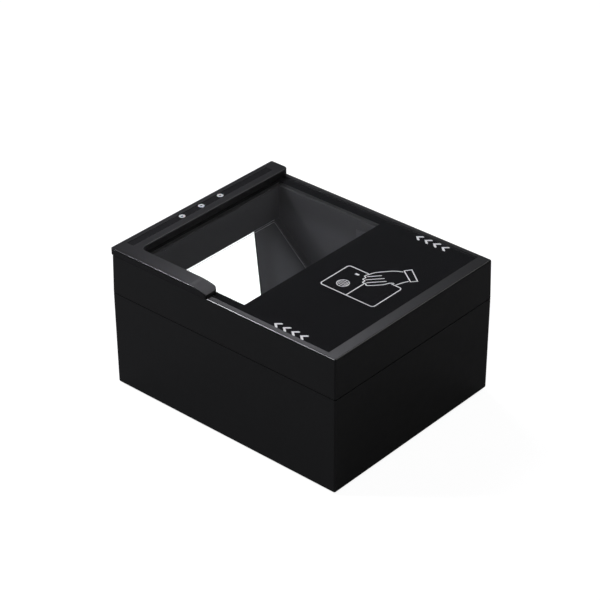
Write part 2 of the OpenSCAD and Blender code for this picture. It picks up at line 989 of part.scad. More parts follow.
module capacitors() {
    color("#a0a4a8")
    for (y = [56, 66, 76])
        translate([40, y, main_board_top])
            cylinder(h = 9, r = 3.5);
}

module buzzer() {
    color("#141414")
    difference() {
        translate([-44, 66, main_board_top])
            cylinder(h = 6.5, r = 6);
        translate([-44, 66, main_board_top + 4])
            cylinder(h = 4, r = 1);
    }
}

// Plug headers for the ribbon and the cables
module board_headers() {
    color("#e0e0da")
    union() {
        box([-7.5, 26, main_board_top], [7.5, 31, main_board_top + 2.6]);
        for (p = [[55, 41], [55, 49], [-55, 49]])
            box([p.x - 4, p.y - 3, main_board_top], [p.x + 4, p.y + 3, main_board_top + header_h]);
        box([44.5, 71, main_board_top], [50.5, 77, main_board_top + header_h]);
        in_camera()
            box([-7.5, camera_board_y - board_t - 2.2, -14], [7.5, camera_board_y - board_t, -9]);
    }
}

// Rear panel and its connectors

module panel_cut(x, z, w, h) {
    translate([x, panel_inner_y, z])
        cube([w, 10, h], center = true);
}

module connector_panel() {
    gap = 0.2;
    color("#2c2c2e")
    difference() {
        box([-49, panel_inner_y - panel_t, floor_z + 0.5], [49, panel_inner_y, 31]);
        panel_cut(usb_x, main_board_top + usb_h / 2, usb_w + 2 * gap, usb_h + 2 * gap);
        panel_cut(dc_x, main_board_top + dc_h / 2, dc_w + 2 * gap, dc_h + 2 * gap);
        panel_cut(switch_x, panel_z, switch_w + 2 * gap, switch_h + 2 * gap);
        for (x = [-1, 1])
            translate([x * panel_screw_x, 84, panel_z])
                along_y()
                    cylinder(h = 20, r = 1.7);
    }
}

// USB type B socket: a steel shell with its two upper corners cut off inside
module usb_port() {
    front_y = panel_inner_y + 1.5;
    depth = 18;
    socket = [8.5, 7.8];
    socket_depth = 9;
    chamfer = 1.6;
    middle_z = main_board_top + usb_h / 2;
    color(STEEL)
    difference() {
        box([usb_x - usb_w / 2, front_y - depth, main_board_top],
            [usb_x + usb_w / 2, front_y, main_board_top + usb_h]);
        translate([usb_x, front_y - socket_depth, middle_z])
            rotate([90, 0, 180])
                linear_extrude(socket_depth + 1)
                    polygon([
                        [-socket.x / 2, -socket.y / 2], [socket.x / 2, -socket.y / 2],
                        [socket.x / 2, socket.y / 2 - chamfer], [socket.x / 2 - chamfer, socket.y / 2],
                        [-socket.x / 2 + chamfer, socket.y / 2], [-socket.x / 2, socket.y / 2 - chamfer]
                    ]);
    }
}

module usb_tongue() {
    front_y = panel_inner_y + 0.9;
    middle_z = main_board_top + usb_h / 2;
    color("#ececec")
    box([usb_x - 2.8, front_y - 8.4, middle_z - 1.6], [usb_x + 2.8, front_y, middle_z + 1.6]);
}

module dc_inlet() {
    front_y = panel_inner_y + 1;
    color("#161616")
    difference() {
        box([dc_x - dc_w / 2, front_y - 14, main_board_top],
            [dc_x + dc_w / 2, front_y, main_board_top + dc_h]);
        translate([dc_x, front_y - 9.5, main_board_top + dc_h / 2])
            along_y()
                cylinder(h = 10, r = 3.15);
    }
}

module dc_pin() {
    front_y = panel_inner_y + 0.3;
    color(STEEL)
    translate([dc_x, front_y - 8.8, main_board_top + dc_h / 2])
        along_y()
            cylinder(h = 8.8, r = 1.05);
}

module switch_housing() {
    cavity = [7.9, 12.7];
    depth = 12.5;
    bezel_t = 1.5;
    color("#18181a")
    difference() {
        union() {
            box([switch_x - switch_w / 2, panel_inner_y - depth, panel_z - switch_h / 2],
                [switch_x + switch_w / 2, panel_inner_y + eps, panel_z + switch_h / 2]);
            box([switch_x - switch_w / 2 - 1, panel_inner_y, panel_z - switch_h / 2 - 1],
                [switch_x + switch_w / 2 + 1, panel_inner_y + bezel_t, panel_z + switch_h / 2 + 1]);
        }
        box([switch_x - cavity.x / 2, panel_inner_y - 8.5, panel_z - cavity.y / 2],
            [switch_x + cavity.x / 2, panel_inner_y + 2, panel_z + cavity.y / 2]);
        translate([switch_x - 6, rocker_y, panel_z])
            rotate([0, 90, 0])
                cylinder(h = 12, r = trunnion_r + running_gap);
    }
}

module switch_terminals() {
    color(BRASS)
    for (z = [-3.5, 3.5])
        translate([switch_x, panel_inner_y - 16, panel_z + z])
            cube([4.8, 7, 0.8], center = true);
}

// Rocker in its off position: it turns about its trunnions, with its ends on one circle
module power_rocker() {
    rocker_half_w = 3.6;
    tip = [4.47, 4];
    color("#0e0e10")
    translate([switch_x, rocker_y, panel_z])
        rotate([-rocker_turn / 2, 0, 0])
            union() {
                intersection() {
                    translate([-rocker_half_w, 0, 0])
                        rotate([0, 90, 0])
                            cylinder(h = 2 * rocker_half_w, r = rocker_r, $fn = 96);
                    side_profile([
                        [-3, -6.5], [tip.y + 1.5, -6.5], [tip.y, -tip.x], [2.6, 0], [tip.y, tip.x],
                        [tip.y + 1.5, 6.5], [-3, 6.5]
                    ], -rocker_half_w, rocker_half_w);
                }
                translate([-rocker_half_w - 0.9, 0, 0])
                    rotate([0, 90, 0])
                        cylinder(h = 2 * rocker_half_w + 1.8, r = trunnion_r);
            }
}

// Feet, fasteners and label

module foot(x, y) {
    bevel = 0.5;
    color(RUBBER)
    translate([x * 64, y * 82, 0])
        union() {
            cylinder(h = bevel, r1 = foot_d / 2 - bevel, r2 = foot_d / 2);
            translate([0, 0, bevel])
                cylinder(h = foot_h + 0.8 - bevel, r = foot_d / 2);
        }
}

module foot_front_left() {
    foot(-1, -1);
}

module foot_front_right() {
    foot(1, -1);
}

module foot_back_left() {
    foot(-1, 1);
}

module foot_back_right() {
    foot(1, 1);
}

module housing_screws() {
    color(BLACK_STEEL)
    at_columns(screw_seat_z)
        screw(1.45, 14, 2.9, 2.4);
}

module threaded_inserts() {
    color(BRASS)
    at_columns(column_top)
        difference() {
            cylinder(h = insert_h, r = insert_r);
            translate([0, 0, -1])
                cylinder(h = insert_h + 2, r = 1.5);
        }
}

// Small screws inside the case: chamber, boards and camera
module inner_screws() {
    color(STEEL)
    union() {
        at_points(flange_screws, skirt_z - 1.5)
            screw(1.2, 4.1, 2.4, 1.6);
        at_points(antenna_screws, antenna_board_z)
            screw(1.2, 4.6, 2.3, 1.5);
        at_points(main_board_screws, main_board_top)
            mirror([0, 0, 1])
                screw(1.2, 5.4, 2.3, 1.5);
        at_points(camera_base_screws, camera_base_z + 2)
            mirror([0, 0, 1])
                screw(1.2, 5, 2.3, 1.5);
        in_camera()
            for (p = camera_board_screws)
                translate([p.x, camera_board_y - board_t, p.y])
                    along_y()
                        screw(0.9, 5, 1.8, 1.2);
    }
}

module stop_screws() {
    color(BLACK_STEEL)
    for (x = stop_screw_x)
        translate([x, stop_screw_y, deck_low])
            screw(1.2, 8, 2.4, 1.8);
}

module panel_screws() {
    color(BLACK_STEEL)
    for (x = [-1, 1])
        translate([x * panel_screw_x, panel_inner_y, panel_z])
            rotate([90, 0, 0])
                screw(1.2, 8, 2.6, 1.8);
}

module rating_label() {
    color("#c9cacb")
    translate([0, 0, foot_h + 0.05])
        linear_extrude(0.2)
            round_rect(63, 39, 1.6);
}

lower_housing();
upper_housing();
document_stop();
indicator_strip();
indicator_lens_left();
indicator_lens_middle();
indicator_lens_right();
indicator_board();
indicator_leds();
indicator_cable();
cover_glass();
glass_mask();
glass_gasket();
antenna_board();
antenna_coil();
reader_module();
antenna_cable();
scan_chamber();
fold_mirror();
mirror_clips();
camera_bracket();
camera_board();
image_sensor();
lens_holder();
lens_barrel();
front_lens();
camera_ribbon();
left_light_board();
right_light_board();
left_light_leds();
right_light_leds();
left_light_cover();
right_light_cover();
light_cables();
main_board();
processor();
memory_chips();
heat_sink();
capacitors();
buzzer();
board_headers();
connector_panel();
usb_port();
usb_tongue();
dc_inlet();
dc_pin();
switch_housing();
switch_terminals();
power_rocker();
foot_front_left();
foot_front_right();
foot_back_left();
foot_back_right();
housing_screws();
threaded_inserts();
inner_screws();
stop_screws();
panel_screws();
rating_label();
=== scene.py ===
"""The looks of a desktop passport reader: a tall black case with a window of glass in its top,
an L-shaped page stop, printed guide marks and a fold mirror in the scan chamber under the glass."""

import json
import math

import bmesh
import bpy
from mathutils import Matrix, Vector


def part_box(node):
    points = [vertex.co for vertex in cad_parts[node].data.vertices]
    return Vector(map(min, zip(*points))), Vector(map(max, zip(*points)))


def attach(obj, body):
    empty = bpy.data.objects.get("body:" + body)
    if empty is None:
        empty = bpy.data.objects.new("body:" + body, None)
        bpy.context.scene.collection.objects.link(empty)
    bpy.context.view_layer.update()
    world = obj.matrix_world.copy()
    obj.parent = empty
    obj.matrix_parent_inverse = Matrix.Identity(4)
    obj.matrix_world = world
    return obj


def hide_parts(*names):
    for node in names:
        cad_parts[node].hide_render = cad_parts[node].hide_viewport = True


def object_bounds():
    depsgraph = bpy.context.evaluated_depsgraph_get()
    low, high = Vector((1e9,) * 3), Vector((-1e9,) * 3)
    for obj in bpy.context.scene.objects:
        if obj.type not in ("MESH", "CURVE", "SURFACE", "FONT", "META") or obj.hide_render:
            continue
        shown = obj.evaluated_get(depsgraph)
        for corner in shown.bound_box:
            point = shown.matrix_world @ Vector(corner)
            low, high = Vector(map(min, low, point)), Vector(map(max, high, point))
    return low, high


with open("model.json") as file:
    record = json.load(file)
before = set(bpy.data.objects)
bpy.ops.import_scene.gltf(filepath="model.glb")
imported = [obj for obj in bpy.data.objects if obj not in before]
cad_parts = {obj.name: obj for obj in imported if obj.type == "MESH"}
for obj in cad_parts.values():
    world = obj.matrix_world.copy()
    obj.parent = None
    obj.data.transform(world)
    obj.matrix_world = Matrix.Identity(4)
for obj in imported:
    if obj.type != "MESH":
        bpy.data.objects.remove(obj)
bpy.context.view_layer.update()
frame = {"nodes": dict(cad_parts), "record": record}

MM = 0.001
# The stop's arm falls by this much over this length, on an arc, and its tip is rounded in plan
RAMP_LENGTH = 16.5 * MM
RAMP_DROP = 2.5 * MM
RAMP_TIP = 5.5 * MM
MIRROR_SLOPE = math.radians(41.8)
# Clear window in the mask: x and y of its two corners
WINDOW = (-68.2 * MM, -10.9 * MM), (68.2 * MM, 80.6 * MM)
SLOT_OF = {part["node"]: part["material_slot"] for part in frame["record"]["subparts"]}


# ---------------------------------------------------------------- material building blocks

class Shader:
    """One material with a Principled shader, and short calls for the nodes that feed it."""

    def __init__(self, name):
        self.material = bpy.data.materials.new(name)
        self.material.use_nodes = True
        self.nodes = self.material.node_tree.nodes
        self.links = self.material.node_tree.links
        self.principled = self.nodes["Principled BSDF"]
        self.coords = self.nodes.new("ShaderNodeTexCoord").outputs["Object"]

    def set(self, **values):
        for name, value in values.items():
            self.principled.inputs[name.replace("_", " ")].default_value = value

    def feed(self, name, output):
        self.links.new(output, self.principled.inputs[name])

    def node(self, kind, inputs=None, **settings):
        made = self.nodes.new(kind)
        for name, value in settings.items():
            setattr(made, name, value)
        for name, value in (inputs or {}).items():
            if isinstance(value, bpy.types.NodeSocket):
                self.links.new(value, made.inputs[name])
            else:
                made.inputs[name].default_value = value
        return made

    def noise(self, size, detail=3.0, roughness=0.55, stretch=None):
        """Noise from 0 to 1 whose features are about `size` metres wide."""
        coords = self.coords
        if stretch:
            coords = self.node("ShaderNodeMapping", {"Vector": coords, "Scale": stretch}).outputs[0]
        made = self.node("ShaderNodeTexNoise", {
            "Vector": coords, "Scale": 1 / size, "Detail": detail, "Roughness": roughness,
        })
        return made.outputs["Fac"]

    def cells(self, size, kind="F1"):
        made = self.node("ShaderNodeTexVoronoi", {"Vector": self.coords, "Scale": 1 / size}, feature=kind)
        return made.outputs["Distance"]

    def span(self, value, low, high, to_low, to_high, smooth=False):
        """Maps value from low..high to to_low..to_high, and stops at both ends."""
        made = self.node("ShaderNodeMapRange", {
            "Value": value, "From Min": low, "From Max": high, "To Min": to_low, "To Max": to_high,
        }, interpolation_type="SMOOTHSTEP" if smooth else "LINEAR")
        return made.outputs["Result"]

    def math(self, operation, a, b):
        return self.node("ShaderNodeMath", {0: a, 1: b}, operation=operation).outputs[0]

    def mix(self, factor, a, b):
        """Mixes two colours, each an output or four numbers."""
        made = self.node("ShaderNodeMix", {"Factor": factor}, data_type="RGBA")
        for index, value in ((6, a), (7, b)):
            if isinstance(value, bpy.types.NodeSocket):
                self.links.new(value, made.inputs[index])
            else:
                made.inputs[index].default_value = value
        return made.outputs[2]

    def bump(self, height, distance):
        return self.node("ShaderNodeBump", {"Height": height, "Distance": distance}).outputs["Normal"]

    def edges(self, radius):
        """1 on sharp edges, 0 on flat and smooth faces."""
        bevel = self.node("ShaderNodeBevel", {"Radius": radius}, samples=4).outputs["Normal"]
        plain = self.node("ShaderNodeNewGeometry").outputs["Normal"]
        agree = self.node("ShaderNodeVectorMath", {0: bevel, 1: plain}, operation="DOT_PRODUCT")
        return self.span(agree.outputs["Value"], 0.97, 0.75, 0.0, 1.0)

    def slants(self):
        """1 on rounded edges and bevels, 0 on faces that are square to X, Y or Z."""
        normal = self.node("ShaderNodeNewGeometry").outputs["Normal"]
        turned = self.node("ShaderNodeVectorMath", {0: normal}, operation="ABSOLUTE").outputs["Vector"]
        axes = self.node("ShaderNodeSeparateXYZ", {"Vector": turned})
        steepest = self.math("MAXIMUM", axes.outputs["Y"], axes.outputs["Z"])
        widest = self.math("MAXIMUM", axes.outputs["X"], steepest)
        return self.span(widest, 0.80, 0.94, 1.0, 0.0)

    def ramps(self):
        """1 on faces that lean by about 4 to 20 degrees from level, 0 on flat ones and on bevels."""
        normal = self.node("ShaderNodeNewGeometry").outputs["Normal"]
        level = self.node("ShaderNodeSeparateXYZ", {"Vector": normal}).outputs["Z"]
        leans = self.span(level, 0.99998, 0.9965, 0.0, 1.0)
        not_steep = self.span(level, 0.90, 0.94, 0.0, 1.0)
        return self.math("MULTIPLY", leans, not_steep)


def tone(colour, factor=1.0):
    return tuple(min(1.0, channel * factor) for channel in colour) + (1.0,)


def moulded(name, colour, roughness=0.45, grain=0.35 * MM, depth=0.006 * MM, variation=0.10, edge_highlight=0.35,
            ramp_dull=0.0):
    """Moulded plastic with a spark-eroded grain and faint flow clouds; its edges are made smoother and get
    a painted highlight of paler colour, up to edge_highlight. ramp_dull makes gentle slopes that much
    rougher."""
    shader = Shader(name)
    clouds = shader.noise(28 * MM, detail=4.0)
    smears = shader.noise(7 * MM, detail=5.0, roughness=0.7)
    grains = shader.noise(grain, detail=2.0)
    base = shader.mix(clouds, tone(colour, 1 - variation), tone(colour, 1 + variation))
    specks = shader.span(grains, 0.35, 0.7, 0.0, 0.35)
    base = shader.mix(specks, base, tone(colour, 1.6))
    dull = shader.span(smears, 0.3, 0.7, roughness - 0.03, roughness + 0.04)
    if edge_highlight:
        # Painted highlight: sharp edges are mixed in patches towards a colour four times paler.
        painted_edge_highlight = shader.math("MULTIPLY", shader.edges(0.5 * MM), shader.span(smears, 0.35, 0.65, 0.15, edge_highlight))
        base = shader.mix(painted_edge_highlight, base, tone(colour, 4.0))
        dull = shader.math("SUBTRACT", dull, shader.math("MULTIPLY", shader.slants(), 0.24))
    if ramp_dull:
        dull = shader.math("ADD", dull, shader.math("MULTIPLY", shader.ramps(), ramp_dull))
    shader.feed("Base Color", base)
    shader.feed("Roughness", dull)
    shader.feed("Normal", shader.bump(grains, depth))
    shader.set(IOR=1.5)
    return shader.material


def chamber_lining(name, colour, roughness=0.5):
    """Grey moulding of the scan chamber, with painted shade: its side walls are painted darker towards the
    window and paler lower down.
    """
    side_wall = (66.6 * MM, 66.9 * MM)
    painted_shade_heights = (76 * MM, 90 * MM)
    shader = Shader(name)
    clouds = shader.noise(25 * MM, detail=4.0)
    grains = shader.noise(0.4 * MM, detail=2.0)
    axes = shader.node("ShaderNodeSeparateXYZ", {"Vector": shader.coords})
    # Painted shade on the side walls only: their colour is scaled by 1.14 below 76 mm, falling to 0.55 above
    # 90 mm.
    beside = shader.span(shader.math("ABSOLUTE", axes.outputs["X"], 0.0), *side_wall, 0.0, 1.0)
    height = shader.span(axes.outputs["Z"], *painted_shade_heights, 1.14, 0.55, smooth=True)
    shade = shader.math("ADD", 1.0, shader.math("MULTIPLY", beside, shader.math("SUBTRACT", height, 1.0)))
    base = shader.mix(clouds, tone(colour, 0.94), tone(colour, 1.06))
    base = shader.mix(shader.span(grains, 0.35, 0.7, 0.0, 0.25), base, tone(colour, 1.4))
    painted_shade_colour = shader.node("ShaderNodeVectorMath", {0: base}, operation="SCALE")
    shader.links.new(shade, painted_shade_colour.inputs["Scale"])
    shader.feed("Base Color", painted_shade_colour.outputs["Vector"])
    shader.feed("Roughness", shader.span(clouds, 0.3, 0.7, roughness - 0.03, roughness + 0.04))
    shader.feed("Normal", shader.bump(grains, 0.006 * MM))
    return shader.material


def glossy(name, colour, roughness=0.12, variation=0.06):
    """Polished plastic or ink: nearly smooth, with a faint ripple and rubbed patches."""
    shader = Shader(name)
    clouds = shader.noise(22 * MM, detail=3.0)
    smears = shader.noise(9 * MM, detail=5.0, roughness=0.7)
    shader.feed("Base Color", shader.mix(clouds, tone(colour, 1 - variation), tone(colour, 1 + variation)))
    shader.feed("Roughness", shader.span(smears, 0.35, 0.7, roughness, roughness + 0.05))
    shader.feed("Normal", shader.bump(shader.noise(4 * MM), 0.0004 * MM))
    shader.set(IOR=1.5)
    return shader.material


def metal(name, colour, roughness=0.3, brush=(1.0, 1.0, 30.0)):
    """Metal with fine brushed or rolled lines, and patches that are a little duller."""
    shader = Shader(name)
    lines = shader.noise(1.2 * MM, detail=4.0, stretch=brush)
    stains = shader.noise(6 * MM, detail=4.0, roughness=0.7)
    shader.feed("Base Color", shader.mix(stains, tone(colour, 0.88), tone(colour)))
    shader.feed("Roughness", shader.span(lines, 0.3, 0.7, roughness - 0.08, roughness + 0.10))
    shader.feed("Normal", shader.bump(lines, 0.002 * MM))
    shader.set(Metallic=1.0)
    return shader.material


def rubber(name, colour, roughness=0.75):
    """Rubber or foam: matte, with a coarse grain and a dusty bloom."""
    shader = Shader(name)
    grains = shader.noise(0.5 * MM, detail=4.0)
    dust = shader.noise(5 * MM, detail=5.0, roughness=0.75)
    bloom = shader.span(dust, 0.45, 0.75, 0.0, 0.5)
    shader.feed("Base Color", shader.mix(bloom, tone(colour), tone(colour, 2.2)))
    shader.feed("Roughness", shader.span(grains, 0.3, 0.7, roughness - 0.08, roughness + 0.1))
    shader.feed("Normal", shader.bump(grains, 0.03 * MM))
    return shader.material


def circuit_board(name, mask, copper):
    """Solder mask over copper: tracks between rounded cells, a weave under the mask, shiny pads."""
    shader = Shader(name)
    tracks = shader.span(shader.cells(3.2 * MM, "DISTANCE_TO_EDGE"), 0.04, 0.10, 0.0, 1.0)
    weave = shader.noise(0.6 * MM, detail=2.0)
    base = shader.mix(tracks, tone(copper), tone(mask))
    base = shader.mix(shader.span(weave, 0.4, 0.7, 0.0, 0.3), base, tone(mask, 0.7))
    pads = shader.span(shader.cells(5 * MM), 0.10, 0.13, 1.0, 0.0)
    shader.feed("Base Color", shader.mix(pads, base, (0.62, 0.60, 0.55, 1.0)))
    shader.feed("Metallic", pads)
    shader.feed("Roughness", shader.span(weave, 0.3, 0.7, 0.22, 0.34))
    shader.feed("Normal", shader.bump(tracks, 0.03 * MM))
    return shader.material


def back_print(name, colour, variation=0.05):
    """Ink bonded to the underside of the glass: no gloss of its own, only the glass above it shines."""
    shader = Shader(name)
    clouds = shader.noise(16 * MM, detail=4.0)
    pinholes = shader.span(shader.noise(0.6 * MM, detail=2.0), 0.62, 0.75, 0.0, 0.25)
    base = shader.mix(clouds, tone(colour, 1 - variation), tone(colour, 1 + variation))
    shader.feed("Base Color", shader.mix(pinholes, base, tone(colour, 0.8)))
    shader.set(Specular_IOR_Level=0.0, Roughness=1.0)
    return shader.material


def clear_glass(name, tint, smudge=0.012):
    """Clear polished glass. The faint smudges only touch its roughness."""
    shader = Shader(name)
    smears = shader.noise(30 * MM, detail=4.0, roughness=0.7)
    streaks = shader.span(smears, 0.55, 0.8, 0.0, smudge)
    shader.feed("Roughness", streaks)
    shader.feed("Base Color", shader.mix(smears, tone(tint), tone(tint, 1.01)))
    shader.set(Transmission_Weight=1.0, IOR=1.5)
    return shader.material


def mirror_coat(name):
    """Front-surface mirror with a trace of haze."""
    shader = Shader(name)
    haze = shader.noise(18 * MM, detail=4.0, roughness=0.7)
    shader.feed("Base Color", shader.mix(haze, (0.90, 0.92, 0.92, 1.0), (0.95, 0.96, 0.96, 1.0)))
    shader.feed("Roughness", shader.span(haze, 0.5, 0.9, 0.0, 0.02))
    shader.set(Metallic=1.0)
    return shader.material


def milky(name):
    """Milky light-pipe plastic with a soft glow of its own depth."""
    shader = Shader(name)
    clouds = shader.noise(0.8 * MM)
    shader.feed("Base Color", shader.mix(clouds, (0.62, 0.63, 0.65, 1.0), (0.78, 0.79, 0.80, 1.0)))
    shader.feed("Roughness", shader.span(clouds, 0.3, 0.7, 0.12, 0.2))
    shader.feed("Normal", shader.bump(clouds, 0.002 * MM))
    shader.set(Subsurface_Weight=0.25, Subsurface_Scale=0.8 * MM, Coat_Weight=0.4)
    return shader.material


def make_materials():
    return {
        "shell_black": moulded("shell_black", (0.0105, 0.0108, 0.0108)),
        "stop_black": moulded(
            "stop_black", (0.0085, 0.0085, 0.0092), roughness=0.37, grain=0.3 * MM, ramp_dull=0.17),
        "strip_gloss": glossy("strip_gloss", (0.008, 0.008, 0.009), roughness=0.22),
        "lens_milk": milky("lens_milk"),
        "cover_glass": clear_glass("cover_glass", (0.985, 0.995, 0.99)),
        "mask_black": back_print("mask_black", (0.0062, 0.0064, 0.0070)),
        "print_white": back_print("print_white", (0.78, 0.78, 0.78), variation=0.02),
        "gasket_foam": rubber("gasket_foam", (0.012, 0.012, 0.012)),
        "coil_copper": metal("coil_copper", (0.80, 0.42, 0.25)),
        "shield_steel": metal("shield_steel", (0.66, 0.67, 0.68)),
        "chamber_grey": chamber_lining("chamber_grey", (0.038, 0.038, 0.0405)),
        "mirror_silver": mirror_coat("mirror_silver"),
        "spring_steel": metal("spring_steel", (0.58, 0.59, 0.60)),
        "bracket_aluminium": metal("bracket_aluminium", (0.76, 0.77, 0.78), roughness=0.35),
        "board_green": circuit_board("board_green", (0.012, 0.11, 0.045), (0.03, 0.19, 0.07)),
        "board_white": circuit_board("board_white", (0.74, 0.74, 0.72), (0.80, 0.80, 0.77)),
        "sensor_glass": glossy("sensor_glass", (0.03, 0.045, 0.09), roughness=0.05),
        "lens_black": moulded("lens_black", (0.012, 0.012, 0.012), roughness=0.4),
        "barrel_black": metal("barrel_black", (0.03, 0.03, 0.032), roughness=0.35, brush=(1.0, 20.0, 1.0)),
        "lens_glass": clear_glass("lens_glass", (0.90, 0.94, 1.0), smudge=0.0),
        "ribbon_white": glossy("ribbon_white", (0.72, 0.72, 0.66), roughness=0.4),
        "led_white": glossy("led_white", (0.82, 0.80, 0.62), roughness=0.3, variation=0.12),
        "cover_smoke": glossy("cover_smoke", (0.045, 0.045, 0.048), roughness=0.32),
        "cable_grey": rubber("cable_grey", (0.06, 0.06, 0.062), roughness=0.5),
        "chip_black": moulded("chip_black", (0.018, 0.018, 0.018), roughness=0.55, grain=0.2 * MM),
        "sink_aluminium": metal("sink_aluminium", (0.06, 0.06, 0.065), roughness=0.4),
        "can_aluminium": metal("can_aluminium", (0.72, 0.73, 0.75), brush=(1.0, 1.0, 20.0)),
        "buzzer_black": moulded("buzzer_black", (0.012, 0.012, 0.012), roughness=0.4),
        "header_ivory": moulded("header_ivory", (0.62, 0.60, 0.52), roughness=0.4, edge_highlight=0.0),
        "panel_black": moulded(
            "panel_black", (0.016, 0.016, 0.017), roughness=0.5, grain=0.5 * MM, depth=0.02 * MM),
        "port_steel": metal("port_steel", (0.74, 0.74, 0.74), roughness=0.25),
        "tongue_white": moulded("tongue_white", (0.74, 0.74, 0.72), roughness=0.4, edge_highlight=0.0),
        "inlet_black": moulded("inlet_black", (0.012, 0.012, 0.012), roughness=0.35),
        "pin_nickel": metal("pin_nickel", (0.75, 0.74, 0.72), roughness=0.2),
        "switch_black": moulded("switch_black", (0.011, 0.011, 0.012), roughness=0.38),
        "terminal_brass": metal("terminal_brass", (0.78, 0.62, 0.32)),
        "rocker_black": moulded("rocker_black", (0.010, 0.010, 0.011), roughness=0.3, grain=0.25 * MM),
        "foot_rubber": rubber("foot_rubber", (0.014, 0.014, 0.014)),
        "screw_black": metal("screw_black", (0.05, 0.05, 0.052), roughness=0.35),
        "insert_brass": metal("insert_brass", (0.78, 0.60, 0.28)),
        "screw_zinc": metal("screw_zinc", (0.66, 0.67, 0.68)),
        "label_silver": moulded("label_silver", (0.42, 0.42, 0.43), roughness=0.35, edge_highlight=0.0),
    }


# ---------------------------------------------------------------- mesh building blocks

def finish_mesh(name, bm, material, sharp_angle=28):
    """Turns a bmesh into an object whose rounded edges shade smoothly into faces that stay flat."""
    bmesh.ops.recalc_face_normals(bm, faces=bm.faces)
    mesh = bpy.data.meshes.new(name)
    bm.to_mesh(mesh)
    bm.free()
    mesh.shade_smooth()
    mesh.set_sharp_from_angle(angle=math.radians(sharp_angle))
    mesh.materials.append(material)
    piece = bpy.data.objects.new(name, mesh)
    bpy.context.scene.collection.objects.link(piece)
    weighted = piece.modifiers.new("flat_faces", "WEIGHTED_NORMAL")
    weighted.keep_sharp = True
    weighted.weight = 100
    return piece


def stand_for(piece, *nodes, body="case"):
    """The piece rides on a body and stands for CAD nodes, which are hidden."""
    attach(piece, body)
    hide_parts(*nodes)
    return piece


def welded_copy(node):
    """The node's CAD mesh as one closed surface, with flat faces as whole polygons."""
    bm = bmesh.new()
    bm.from_mesh(frame["nodes"][node].data)
    bmesh.ops.remove_doubles(bm, verts=bm.verts, dist=0.0005 * MM)
    bmesh.ops.dissolve_limit(
        bm, angle_limit=math.radians(0.6), verts=bm.verts, edges=bm.edges, use_dissolve_boundaries=False,
    )
    return bm


def bevel_sharp(bm, width, segments, angle=24, keep=lambda edge: True, clamp=True):
    """Rounds every edge that is sharper than the angle and that keep() accepts."""
    least = math.radians(angle)
    sharp = [
        edge for edge in bm.edges
        if len(edge.link_faces) == 2 and edge.calc_face_angle(0.0) > least and keep(edge)
    ]
    bmesh.ops.bevel(
        bm, geom=sharp, offset=width, offset_type="OFFSET", segments=segments, profile=0.5,
        affect="EDGES", clamp_overlap=clamp, miter_outer="SHARP",
    )


def refined(node, width, segments, body="case"):
    """A copy of a CAD node with its sharp edges rounded, which stands for that node."""
    bm = welded_copy(node)
    bevel_sharp(bm, width, segments)
    piece = finish_mesh(node + "_piece", bm, MATERIALS[SLOT_OF[node]])
    return stand_for(piece, node, body=body)


def lathe(bm, profile, centre, steps=64):
    """Closed round body about a vertical line; the profile runs from the axis out and back to it.
    Each profile point is (radius, height, material index of the band that starts there)."""
    rings = []
    for radius, height, _ in profile:
        if radius == 0:
            rings.append([bm.verts.new((centre.x, centre.y, height))])
        else:
            rings.append([
                bm.verts.new((
                    centre.x + radius * math.cos(2 * math.pi * k / steps),
                    centre.y + radius * math.sin(2 * math.pi * k / steps),
                    height,
                ))
                for k in range(steps)
            ])
    for (inner, outer), (_, _, index) in zip(zip(rings, rings[1:]), profile):
        for k in range(steps):
            after = (k + 1) % steps
            corners = []
            for vert in (inner[k % len(inner)], inner[after % len(inner)],
                         outer[after % len(outer)], outer[k % len(outer)]):
                if vert not in corners:
                    corners.append(vert)
            if len(corners) > 2:
                bm.faces.new(corners).material_index = index


def prism(bm, outline, low, high):
    """Upright prism over a simple outline of (x, y) points."""
    bottom = [bm.verts.new((x, y, low)) for x, y in outline]
    top = [bm.verts.new((x, y, high)) for x, y in outline]
    bm.faces.new(bottom[::-1])
    bm.faces.new(top)
    count = len(outline)
    for k in range(count):
        after = (k + 1) % count
        bm.faces.new((bottom[k], bottom[after], top[after], top[k]))


def arc(centre, radius, start, end, steps=8):
    """Points on an arc, in degrees from +X."""
    return [
        (centre[0] + radius * math.cos(math.radians(start + (end - start) * k / steps)),
         centre[1] + radius * math.sin(math.radians(start + (end - start) * k / steps)))
        for k in range(steps + 1)
    ]


def stroke_outline(points, width):
    """Outline of a pen stroke along an open line, with mitred corners and round ends."""
    line = [Vector(p) for p in points]
    half = width / 2
    left, right = [], []
    for i, p in enumerate(line):
        before = (p - line[i - 1]).normalized() if i else None
        after = (line[i + 1] - p).normalized() if i + 1 < len(line) else None
        if before is None or after is None:
            along = after or before
            side = Vector((-along.y, along.x)) * half
        else:
            tangent = (before + after).normalized()
            side = Vector((-tangent.y, tangent.x))
            side *= half / max(0.3, side.dot(Vector((-before.y, before.x))))
        left.append(p + side)
        right.append(p - side)
    first, last = (line[1] - line[0]), (line[-1] - line[-2])
    head = math.degrees(math.atan2(last.y, last.x))
    tail = math.degrees(math.atan2(first.y, first.x)) + 180
    cap = [Vector(p) for p in arc(line[-1], half, head + 90, head - 90, 6)[1:-1]]
    foot = [Vector(p) for p in arc(line[0], half, tail + 90, tail - 90, 6)[1:-1]]
    return [(p.x, p.y) for p in left + cap + right[::-1] + foot]


def smooth_line(points, steps=5):
    """Catmull-Rom curve through the points."""
    line = [Vector(p) for p in points]
    out = []
    for i in range(len(line) - 1):
        a, b, c, d = line[max(i - 1, 0)], line[i], line[i + 1], line[min(i + 2, len(line) - 1)]
        for s in range(steps):
            t = s / steps
            out.append(0.5 * (2 * b + (c - a) * t + (2 * a - 5 * b + 4 * c - d) * t * t
                              + (3 * b - a - 3 * c + d) * t ** 3))
    out.append(line[-1])
    return [(p.x, p.y) for p in out]


# ---------------------------------------------------------------- pieces of the object

